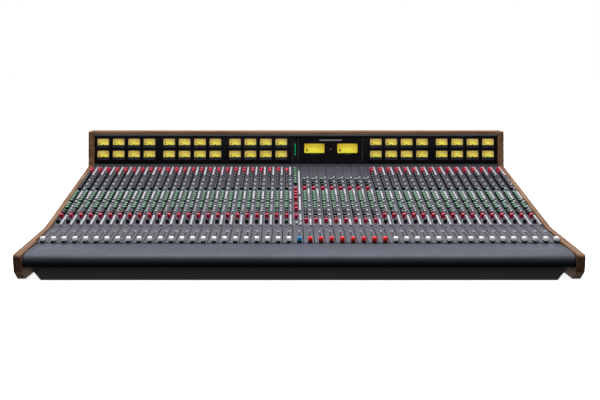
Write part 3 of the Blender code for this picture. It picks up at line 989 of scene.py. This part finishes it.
def fader_housing(rest):
    """Black housing under a fader strip: a U section round the stem."""
    outer, inner, deep, floor = 0.0065, 0.0019, 0.0160, 0.0110
    outline = [(-outer, 0), (-inner, 0), (-inner, -floor), (inner, -floor), (inner, 0), (outer, 0),
               (outer, -deep), (-outer, -deep)]
    ends = [[(x, u, z) for x, z in outline] for u in (rest - 0.012, rest + TRAVEL + 0.012)]
    return shape_of(prism(ends), "case_black")


def screw_shapes(radius=0.0021):
    """Pan-head screw; its cross recess is a flat dark mark on the head, painted shade in place of a hollow.
    """
    head = turned("steel", 14, (radius * 0.45, 0.0012), (radius * 0.85, 0.0009), (radius, 0.0003),
                  (radius, -0.0004))
    sizes = ((radius * 1.1, radius * 0.26, 0.0003), (radius * 0.26, radius * 1.1, 0.0003))
    return [head, *(block(size, "hole", 0, (0, 0, 0.0012)) for size in sizes)]


def section_of(modules):
    """The CAD panel that a bank's strips stand for."""
    if modules.stop <= MASTER:
        return "left"
    return "centre" if modules.stop <= MASTER + 1 + GROUPS else "right"


def panels(rest):
    """Module strips in place of the plain panels, with the fader housings and the screws."""
    flat, housing, screw = fader_strip(rest), fader_housing(rest), screw_shapes()
    for bank, modules in BANKS.items():
        section = section_of(modules)
        upper = [(control_strip(i), UPPER.place(module_middle(i), 0)) for i in modules]
        piece = stamped("control_strips_" + bank, upper)
        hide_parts("control_panel_" + section)
        lower = [(flat, FADERS.place(module_middle(i), 0)) for i in modules]
        piece = stamped("fader_strips_" + bank, lower)
        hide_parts("fader_panel_" + section)
        stamped("fader_housings_" + bank,
                [(housing, FADERS.place(fader_line(i), 0, -STRIP_T - 0.0001)) for i in modules])
        screws = []
        for i in modules:
            for plane, u in ((UPPER, UPPER.length - SCREW_INSET), (FADERS, FADERS.length - SCREW_INSET)):
                screws += [(shape, plane.place(module_middle(i), u)) for shape in screw]
        stamped("strip_screws_" + bank, screws)


def number_shape(text, size, finish):
    """A number as thin raised print."""
    curve = bpy.data.curves.new("number", "FONT")
    curve.body = text
    curve.size = size
    curve.align_x = "CENTER"
    curve.align_y = "CENTER"
    curve.extrude = 0.00008
    curve.resolution_u = 3
    return welded(curve, 0.000005, finish)


def numbers(name, items, size, finish):
    """One piece of printed numbers from (text, matrix) pairs."""
    shapes = {text: number_shape(text, size, finish) for text in dict(items)}
    stamped(name, [(shapes[text], matrix) for text, matrix in items])


def fader_print():
    """Module numbers over the faders and the level scale beside each slot."""
    tick = block((0.0028, 0.0003, 0.0002), "print_grey")
    for bank, modules in BANKS.items():
        items = []
        scale = []
        for i in modules:
            if i == MASTER:
                text = "0"
            elif bank == "groups":
                text = str(i - MASTER)
            else:
                text = str(i + 1 if i < MASTER else i - GROUPS)
            items.append((text, FADERS.place(fader_line(i), NUMBER_LEVEL, 0.0001)))
            for k in range(FADER_TICKS):
                level = SCALE_FOOT + TRAVEL * k / (FADER_TICKS - 1)
                scale.append((tick, FADERS.place(fader_line(i) - SCALE_ASIDE, level)))
        numbers("fader_numbers_" + bank, items, NUMBER_SIZE, "print")
        stamped("fader_scales_" + bank, scale)


def group_lamps():
    """The two unlit lamps of each group strip."""
    for colour, (finish, level) in GROUP_LEDS.items():
        lamp = turned(finish, 14, (0.0010, 0.0040), (0.0021, 0.0030), (0.0024, 0.0010), (0.0024, -0.0004))
        collar = turned("knob_black", 16, (0.0024, 0.0010), (0.0034, 0.0005), (0.0034, -0.0003))
        places = [UPPER.place(module_middle(i), level) for i in BANKS["groups"]]
        stamped("group_lamps_" + colour, [(shape, place) for place in places for shape in (lamp, collar)])


# Meter bridge


def cards(name, width, height, places, finish):
    """Lit dial cards, each with local coordinates for the glow."""
    card = block((width, height, 0.0006), finish)
    local = np.array([(p[0] / (width / 2), p[1] / (height / 2), 0) for p in card.points])
    repeated = np.tile(local, (len(places), 1)).astype(np.float32)
    return stamped(name, [(card, place) for place in places], local=repeated)


def polar(pivot, reach, angle):
    """Shift on a dial: this far from the pivot, at this angle from upright."""
    return Matrix.Translation((reach * sin(angle), pivot + reach * cos(angle), 0))


def arc_stamps(place, pivot, radius, start, stop, width, finish):
    """A printed arc as short bars."""
    span = (stop - start) / DIAL_BARS
    bar = block((radius * span * 1.08, width, PRINT_T), finish)
    angles = [start + span * (k + 0.5) for k in range(DIAL_BARS)]
    return [(bar, place @ polar(pivot, radius, a) @ Matrix.Rotation(-a, 4, "Z")) for a in angles]


def scale_stamps(place, pivot, radius, sweep, tick, width, count):
    """Arc with ticks; its last third is red."""
    change = sweep * 0.45
    stamps = arc_stamps(place, pivot, radius, -sweep, change, width, "ink")
    stamps += arc_stamps(place, pivot, radius, change, sweep, width * 1.8, "red_ink")
    black, red = (block((width, tick, PRINT_T), finish) for finish in ("ink", "red_ink"))
    for k in range(count):
        angle = -sweep + 2 * sweep * k / (count - 1)
        spot = polar(pivot, radius + tick / 2, angle) @ Matrix.Rotation(-angle, 4, "Z")
        stamps.append((red if angle > change else black, place @ spot))
    return stamps


def meter_columns(first, banks):
    """X of the meter columns in a run of banks, from the middle of the first bank."""
    middles = [first + bank * METER_BANK_PITCH for bank in range(banks)]
    offsets = [(k - (METERS_IN_BANK - 1) / 2) * METER_PITCH for k in range(METERS_IN_BANK)]
    return [middle + offset for middle in middles for offset in offsets]


def meter_bezel():
    """Moulded front of a small meter, with its window opening."""
    edge = rounded_box(*METER_BODY, 0.0025)
    window = rounded_box(*METER_WINDOW, 0.0022, 0, METER_LIFT)
    return sheet([edge, window], METER_PROUD - 0.0002, "meter_black", 0.0006)


def meter_band(x, u):
    """Band under a small meter's window, with a row of printed dashes along its foot."""
    high = METER_BODY[1] / 2 + METER_LIFT - METER_WINDOW[1] / 2 - 0.0030
    middle = u - METER_BODY[1] / 2 + 0.0016 + high / 2
    band = block((METER_BODY[0] - 0.005, high, 0.0005), "band", 0.0002)
    dash = block((0.0040, 0.0005, 0.0002), "print_dim")
    foot = middle - high / 2 + 0.0008
    dashes = [(dash, FACE.place(x + k * 0.0100, foot, METER_PROUD + 0.0004)) for k in range(-2, 3)]
    return [(band, FACE.place(x, middle, METER_PROUD)), *dashes]


def meter_scale(card):
    """Printed scale of a small meter, with a dark sign low at its left."""
    ink = card @ Matrix.Translation((0, 0, 0.0004))
    sign = block((0.0046, 0.0056, 0.0002), "ink")
    stamps = scale_stamps(ink, -0.0180, 0.0235, radians(46), 0.0022, 0.0004, 9)
    return [*stamps, (sign, ink @ Matrix.Translation((-0.0165, -0.0080, 0)))]


def meter_needle(card):
    """Needle of a small meter, at rest towards the left, and its boss."""
    needle = block((0.0004, 0.0190, 0.0003), "ink", 0, (0, 0.0095, 0))
    boss = turned("ink", 16, (0.0016, 0.0008), (0.0024, 0.0004), (0.0024, -0.0004))
    pivot = card @ Matrix.Translation((0, -0.0125, 0.0012))
    return [(needle, pivot @ Matrix.Rotation(radians(52), 4, "Z")), (boss, pivot)]


def small_meters(side):
    """The small meters of one side on their black panel."""
    low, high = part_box("meter_panel_" + side)
    panel = sheet([rectangle(low.x, 0, high.x, FACE.length)], STRIP_T, "meter_black", 0.0002)
    piece = stamped("meter_sheet_" + side, [(panel, FACE.place(0, 0))])
    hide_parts("meter_panel_" + side)
    bezel = meter_bezel()
    w, h = METER_WINDOW
    pane = block((w - 0.0006, h - 0.0006, 0.0006), "glass")
    places = [(x, u) for x in meter_columns(*METER_BANKS[side]) for u in METER_ROWS]
    spots = [FACE.place(x, u + METER_LIFT, 0.0006) for x, u in places]
    stamped("meter_bezels_" + side, [(bezel, FACE.place(x, u, METER_PROUD)) for x, u in places])
    panes = [(pane, FACE.place(x, u + METER_LIFT, METER_PROUD - 0.0008)) for x, u in places]
    stamped("meter_panes_" + side, panes)
    stamped("meter_bands_" + side, [stamp for x, u in places for stamp in meter_band(x, u)])
    cards("meter_cards_" + side, w + 0.002, h + 0.002, spots, "dial_small")
    stamped("meter_scales_" + side, [stamp for card in spots for stamp in meter_scale(card)])
    stamped("meter_needles_" + side, [stamp for card in spots for stamp in meter_needle(card)])


def vu_frame(x, u):
    """Frame round a big meter's window, and a printed dash under it."""
    w, h = VU_WINDOW
    outlines = [rounded_box(w + 0.0044, h + 0.0044, 0.0070), rounded_box(w - 0.0004, h - 0.0004, 0.0050)]
    dash = block((0.0300, 0.0012, 0.0002), "print_dim")
    return [(sheet(outlines, 0.0012, "gloss_black", 0.0004), FACE.place(x, u, 0.0012)),
            (dash, FACE.place(x, u - h / 2 - 0.0060, 0.0001))]


def vu_dial(side, x, u, pivot):
    """Lit card of a big meter, with its scale, its numbers and two printed signs."""
    depth = (pivot - FACE.foot).dot(FACE.out)
    low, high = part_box("vu_dial_" + side)
    card = FACE.place(x, u, depth - 0.0022)
    piece = cards("vu_card_" + side, high.x - low.x - 0.002, VU_WINDOW[1] + 0.006, [card], "dial")
    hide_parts("vu_dial_" + side)
    ink = card @ Matrix.Translation((0, 0, 0.0004))
    foot = FACE.level(pivot) - u
    stamps = scale_stamps(ink, foot, VU_ARC, VU_SWEEP, 0.0034, 0.0005, 21)
    signs = (((0.0066, 0.0078, 0.0002), "ink", -0.0310), ((0.0026, 0.0026, 0.0002), "red_ink", 0.0300))
    for size, finish, across in signs:
        stamps.append((block(size, finish), ink @ Matrix.Translation((across, -0.0085, 0))))
    stamped("vu_scale_" + side, stamps)
    items = [(text, ink @ polar(foot, VU_ARC + 0.0058, VU_SWEEP * part)) for text, part in VU_NUMBERS]
    numbers("vu_numbers_" + side, items, 0.0042, "ink")


def vu_needle(side, pivot):
    """Pointer of a big meter, at the angle where its CAD node rests."""
    node = "vu_needle_" + side
    reaches = [vertex.co - pivot for vertex in frame["nodes"][node].data.vertices]
    tip = max(reaches, key=lambda reach: reach.length)
    rest = atan2(-tip.x, tip.dot(FACE.up))
    stand = Matrix.Translation(pivot) @ FACE.turn @ Matrix.Rotation(rest, 4, "Z")
    blade = block((0.0007, 0.0455, 0.0005), "ink", 0, (0, 0.0227, 0))
    tail = block((0.0030, 0.0090, 0.0005), "ink", 0.0002, (0, -0.0050, 0))
    hub = turned("ink", 20, (0.0022, 0.0009), (0.0030, 0.0004), (0.0030, -0.0003))
    piece = stamped(node + "_blade", [(shape, stand) for shape in (blade, tail, hub)], node)
    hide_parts(node)


def vu_meters():
    """Both big meters, and their frames as one piece."""
    frames = []
    for side in ("left", "right"):
        pivot = Vector(JOINTS[f"vu_{side}_swing"]["pos_m"])
        centre = middle_of("vu_window_" + side)
        x, u = centre.x, FACE.level(centre)
        frames += vu_frame(x, u)
        vu_dial(side, x, u, pivot)
        vu_needle(side, pivot)
    stamped("vu_frames", frames)


def level_lamps():
    """Column of green lamps, with a small round cap above and below it."""
    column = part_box("led_panel")[0].x + 0.0115
    start = FACE.length / 2 - 0.0150
    lamp = block((0.0036, 0.0092, 0.0016), "led_green", 0.0005)
    cap = turned("print_dim", 16, (0.0010, 0.0010), (0.0019, 0.0006), (0.0019, -0.0002))
    marks = [(lamp, FACE.place(column, start + k * LED_PITCH, 0.0004)) for k in range(4)]
    marks += [(cap, FACE.place(column, start + k * LED_PITCH)) for k in (-0.75, 3.85)]
    stamped("level_lamps", marks)


def bridge_marks():
    """Thin lines between the bridge's sections, the blank name strip, and the red lamp below it."""
    low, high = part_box("led_panel")
    vu_low, vu_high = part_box("vu_panel")
    middle = (vu_low.x + vu_high.x) / 2
    line = block((0.0011, FACE.length * 0.80, 0.0003), "print_dim")
    edges = (low.x + 0.0012, high.x - 0.0006, vu_high.x - 0.0022)
    stamped("bridge_lines", [(line, FACE.place(x, FACE.length / 2, 0.0001)) for x in edges])
    strip = block((0.0960, 0.0050, 0.0008), "name_strip", 0.0003)
    stamped("blank_name_strip", [(strip, FACE.place(middle, FACE.length * 0.855, 0.0003))])
    red = turned("led_red", 20, (0.0010, 0.0036), (0.0020, 0.0030), (0.0025, 0.0016), (0.0025, -0.0002))
    collar = turned("print_dim", 20, (0.0027, 0.0012), (0.0036, 0.0006), (0.0036, -0.0002))
    place = FACE.place(middle, FACE.length * 0.53)
    stamped("peak_lamp", [(red, place), (collar, place)])


# Case


def dress(node, finish, bevel):
    """Gives a CAD node its material, and rounds its edges."""
    part = frame["nodes"][node]
    part.data.materials.clear()
    part.data.materials.append(FINISHES[finish][1])
    if bevel:
        weld = part.modifiers.new("weld", "WELD")
        weld.merge_threshold = 0.00001
        rounding = part.modifiers.new("rounding", "BEVEL")
        rounding.width = bevel
        rounding.segments = 3
        rounding.limit_method = "ANGLE"
        rounding.angle_limit = radians(40)


def arc_outline(corners, steps):
    """Outline from (y, z, radius) corners, each as an arc of the same number of points."""
    points = []
    for i, (y, z, radius) in enumerate(corners):
        here = Vector((y, z))
        before = (Vector(corners[i - 1][:2]) - here).normalized()
        after = (Vector(corners[(i + 1) % len(corners)][:2]) - here).normalized()
        half = before.angle(after) / 2
        reach = radius / abs(sin(half) / cos(half))
        centre = here + (before + after).normalized() * (radius / sin(half))
        start = here + before * reach - centre
        turn = start.angle_signed(here + after * reach - centre)
        for k in range(steps + 1):
            points.append(centre + Matrix.Rotation(-turn * k / steps, 2) @ start)
    return points


def pad_outline(depth, tall):
    """Section of the bolster: square at the rear, crowned on top, with a big front roll."""
    corners = [(depth, 0.0, 0.003), (depth, tall - 0.0015, 0.006), (depth * 0.40, tall, 0.20),
               (0.0, tall - 0.0065, 0.030), (0.0, 0.0, 0.004)]
    return arc_outline(corners, 9)


def pad_stations(half):
    """Stations along X, close together where the ends round off and by the welts."""
    close = [half - PAD_END * (1 - cos(pi / 2 * k / 6)) for k in range(6)]
    inner = [half - PAD_END - 0.003 - 0.0035 * k for k in range(8)]
    long = np.linspace(-(inner[-1] - 0.004), inner[-1] - 0.004, PAD_STATIONS)
    ends = close + inner
    return [-x for x in ends] + list(long) + list(reversed(ends))


def pad_points(low, high, outline):
    """Rings of points round the pad: rounded ends, slight swells, and a pucker at each welt."""
    depth, tall = high.y - low.y, high.z - low.z
    half = (high.x - low.x) / 2
    centre = Vector((depth / 2, tall / 2))
    points = []
    for x in pad_stations(half):
        inside = half - abs(x)
        sink = PAD_END * (1 - (1 - min(1, inside / PAD_END)) ** 2) ** 0.5 - PAD_END
        swell = 0.0005 * sin(x * 23.0) + 0.0004 * sin(x * 61.0 + 1.3)
        pucker = -0.0009 * np.exp(-((inside - WELT_INSET) / 0.004) ** 2)
        for spot in outline:
            away = spot - centre
            lift = (swell + pucker) * max(0.0, away.y / tall + 0.3)
            grown = spot + away.normalized() * (sink * 0.5 + lift)
            points.append((x, low.y + min(max(grown.x, 0.0), depth), low.z + max(grown.y, 0.0)))
    return points


def armrest():
    """Padded bolster with a welt round each end."""
    low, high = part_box("armrest")
    outline = pad_outline(high.y - low.y, high.z - low.z)
    points = pad_points(low, high, outline)
    count = len(outline)
    last = len(points) - count
    faces = []
    for first in range(0, last, count):
        for k in range(count):
            a, b = first + k, first + (k + 1) % count
            faces.append((a, a + count, b + count, b))
    faces += [list(range(count)), [last + k for k in reversed(range(count))]]
    mesh = bpy.data.meshes.new("armrest_pad")
    mesh.from_pydata(points, [], faces)
    work = bmesh.new()
    work.from_mesh(mesh)
    bmesh.ops.recalc_face_normals(work, faces=work.faces)
    work.to_mesh(mesh)
    work.free()
    mesh.shade_smooth()
    mesh.set_sharp_from_angle(angle=radians(50))
    pad = dressed("armrest_pad", mesh, ["pad"])
    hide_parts("armrest")
    welts(low, high, outline)


def welts(low, high, outline):
    """Welted seam round each end of the pad."""
    ring = [Vector((0, low.y + y, low.z + z)) for y, z in outline]
    middle = sum(ring, Vector()) / len(ring)
    inside = [spot + (middle - spot).normalized() * 0.0004 for spot in ring]
    for side, x in (("left", low.x + WELT_INSET), ("right", high.x - WELT_INSET)):
        curve = bpy.data.curves.new("welt", "CURVE")
        curve.dimensions = "3D"
        curve.bevel_depth = 0.0009
        curve.bevel_resolution = 2
        close_spline(curve, [(x, spot.y, spot.z) for spot in inside])
        mesh = mesh_of(curve)
        mesh.shade_smooth()
        mesh.materials.clear()
        dressed("pad_welt_" + side, mesh, ["pad"])


# Rear


def on_back(node, x, z):
    """A place on a node's rear face, facing backwards."""
    return Matrix.Translation((x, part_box(node)[1].y, z)) @ Matrix.Rotation(radians(-90), 4, "X")


def socket_parts():
    """A flush three-pole socket as (shape, shift) pairs."""
    outlines = [rounded_box(0.026, 0.031, 0.003), round_hole(0, 0, 0.0105, 24)]
    flange = sheet(outlines, 0.0016, "cap_dark", 0.0003)
    shell = turned("nickel", 24, (0.0104, 0.0034), (0.0110, 0.0030), (0.0110, -0.0002))
    face = turned("hole", 24, (0.0092, 0.0037), (0.0092, 0.0030))
    pin = turned("nickel", 10, (0.0009, 0.0046), (0.0012, 0.0042), (0.0012, 0.0036))
    pins = [(pin, polar(0, 0.0048, radians(angle))) for angle in (0, -120, 120)]
    return [(flange, Matrix.Translation((0, 0, 0.0016))), (shell, Matrix()), (face, Matrix()), *pins]


def jack_parts():
    """A jack socket as (shape, shift) pairs."""
    nut = turned("nickel", 6, (0.0048, 0.0030), (0.0056, 0.0024), (0.0056, -0.0002))
    # The mouth is a dark plug in painted shade where the real jack has a hole.
    mouth = turned("hole", 18, (0.0033, 0.0033), (0.0033, 0.0020))
    return [(nut, Matrix()), (mouth, Matrix())]


def rear_panel():
    """Sockets and jacks behind each module, and the panel's screws."""
    socket, jack, screw = socket_parts(), jack_parts(), screw_shapes(0.0028)
    rows = [(z, socket) for z in SOCKET_ROWS] + [(z, jack) for z in JACK_ROWS]
    for bank, modules in BANKS.items():
        stamps = []
        for i in modules:
            for z, parts in rows:
                place = on_back("rear_panel", module_middle(i), z)
                stamps += [(shape, place @ shift) for shape, shift in parts]
        stamped("rear_sockets_" + bank, stamps)
    low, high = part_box("rear_panel")
    screws = []
    for k in range(REAR_SCREWS):
        x = low.x + 0.012 + (high.x - low.x - 0.024) * k / (REAR_SCREWS - 1)
        for z in (low.z + 0.008, high.z - 0.008):
            screws += [(shape, on_back("rear_panel", x, z)) for shape in screw]
    stamped("rear_screws", screws)


def louvres():
    """Ventilation louvres in the cover behind the meters."""
    low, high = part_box("bridge_rear_cover")
    louvre = block((0.0700, 0.0050, 0.0040), "case_black", 0.0012, (0, 0, 0.0008))
    middle = (low.z + high.z) / 2
    stamps = []
    for k in range(LOUVRE_COLUMNS):
        x = low.x + (high.x - low.x) * (k + 0.5) / LOUVRE_COLUMNS
        for row in range(-2, 3):
            stamps.append((louvre, on_back("bridge_rear_cover", x, middle + row * LOUVRE_PITCH)))
    stamped("rear_louvres", stamps)


# Studio


def floor():
    """White ground that is seen but doesn't colour the console's light."""
    bpy.ops.mesh.primitive_plane_add(size=60, location=(0, 0, -0.0006))
    ground = bpy.context.object
    ground.name = "floor"
    look = Look("floor_white", 0.9, specular=0.0)
    look.colour(look.ramp(look.noise(2.0), (0.3, (0.94, 0.94, 0.94)), (0.7, (0.97, 0.97, 0.97))))
    look.set("Emission Color", (1.0, 1.0, 1.0, 1.0))
    look.set("Emission Strength", 0.90)
    ground.data.materials.append(look.made)
    ground.visible_diffuse = False
    ground.visible_glossy = False


def lamp(name, kind, location, aim, energy, colour=(1, 1, 1), **settings):
    data = bpy.data.lights.new(name, kind)
    data.energy = energy
    data.color = colour
    for setting, value in settings.items():
        setattr(data, setting, value)
    light = in_scene(name, data)
    light.location = location
    light.rotation_euler = (Vector(aim) - Vector(location)).to_track_quat("-Z", "Y").to_euler()


def studio_world():
    """White where it is seen; as light it is faint in front of the console and full behind it."""
    world = bpy.data.worlds.new("studio")
    bpy.context.scene.world = world
    world.use_nodes = True
    nodes, links = world.node_tree.nodes, world.node_tree.links
    light, seen = nodes["Background"], nodes.new("ShaderNodeBackground")
    light.inputs["Color"].default_value = (0.93, 0.95, 1.0, 1)
    seen.inputs["Color"].default_value = (1, 1, 1, 1)
    path = nodes.new("ShaderNodeLightPath")
    mix = nodes.new("ShaderNodeMixShader")
    where = nodes.new("ShaderNodeTexCoord")
    parts = nodes.new("ShaderNodeSeparateXYZ")
    ahead = nodes.new("ShaderNodeMapRange")
    for socket, value in (("From Min", -0.35), ("From Max", 0.55), ("To Min", 0.06), ("To Max", 1.0)):
        ahead.inputs[socket].default_value = value
    for source, target in (
        (where.outputs["Generated"], parts.inputs["Vector"]),
        (parts.outputs["Y"], ahead.inputs["Value"]),
        (ahead.outputs["Result"], light.inputs["Strength"]),
        (path.outputs["Is Camera Ray"], mix.inputs["Fac"]),
        (light.outputs["Background"], mix.inputs[1]),
        (seen.outputs["Background"], mix.inputs[2]),
        (mix.outputs["Shader"], nodes["World Output"].inputs["Surface"]),
    ):
        links.new(source, target)


def studio():
    """Soft light from above and a weaker strip of it over the controls."""
    studio_world()
    lamp("overhead", "SUN", (0, 0.5, 3), (0, 0, 0), 2.35, angle=radians(64))
    lamp("kicker", "AREA", (0, -0.15, 1.70), (0, 0.40, 0.25), 19.0, (0.96, 0.97, 1.0),
         shape="RECTANGLE", size=2.4, size_y=0.5)
    bpy.context.scene.view_settings.view_transform = "Standard"


def camera():
    """The view from the operator's place, a little left of the middle."""
    data = bpy.data.cameras.new("camera")
    data.lens = LENS
    data.shift_x = SIDE_SHIFT
    view = in_scene("camera", data)
    view.location = EYE + Vector((0, cad_bounds[0][1], 0))
    view.rotation_euler = (pi / 2 - LOOK_DOWN, 0, 0)
    bpy.context.scene.camera = view


def main():
    camera()
    studio()
    floor()
    rest = faders()
    panels(rest)
    fader_print()
    for bank, modules in BANKS.items():
        controls(bank, modules)
    moving_controls()
    group_lamps()
    for side in METER_BANKS:
        small_meters(side)
    vu_meters()
    level_lamps()
    bridge_marks()
    armrest()
    rear_panel()
    louvres()
    for node, (finish, bevel) in CASE.items():
        dress(node, finish, bevel)


main()
